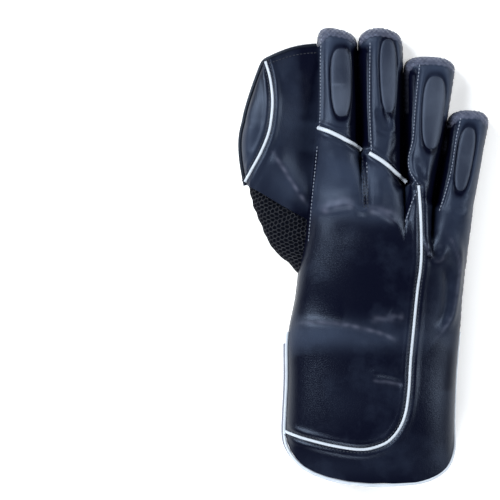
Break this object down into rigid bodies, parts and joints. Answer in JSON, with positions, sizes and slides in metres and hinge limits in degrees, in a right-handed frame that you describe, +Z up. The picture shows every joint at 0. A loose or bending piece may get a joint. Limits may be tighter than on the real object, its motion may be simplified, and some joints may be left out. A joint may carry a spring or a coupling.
{
  "type": "wicketkeeping glove",
  "caption": "Right-hand wicketkeeping glove lying palm down: leather back and deep cuff, dimpled rubber palm, padded finger stalls, thumb stall under a webbed flap, white piping.",
  "frame": {"origin": "middle of the footprint, on the surface that the glove lies on", "axes": "+Z up through the back of the hand, +Y towards the fingertips, thumb and web towards -X"},
  "size_m": [0.1874, 0.3392, 0.0471],
  "materials": {
    "leather": "black navy smooth leather, fine grain, soft sheen",
    "pads": "black navy satin leather over foam",
    "rubber": "black rubber with a small raised honeycomb",
    "piping": "white satin piping",
    "binding": "black stitched edge binding"
  },
  "bodies": {
    "root": {"back_panel": "leather", "side_panel": "leather", "palm_cuff": "leather", "index_back": "leather", "middle_back": "leather", "ring_back": "leather", "little_back": "leather", "thumb_gusset": "leather", "web_back": "leather", "index_pad": "pads", "middle_pad": "pads", "ring_pad": "pads", "little_pad": "pads", "palm_facing": "rubber", "index_front": "rubber", "middle_front": "rubber", "ring_front": "rubber", "little_front": "rubber", "thumb_stall": "rubber", "web_facing": "rubber", "back_piping": "piping", "cuff_back_piping": "piping", "cuff_palm_piping": "piping", "index_knuckle_piping": "piping", "middle_knuckle_piping": "piping", "web_piping": "piping", "web_binding": "binding"}
  },
  "joints": []
}
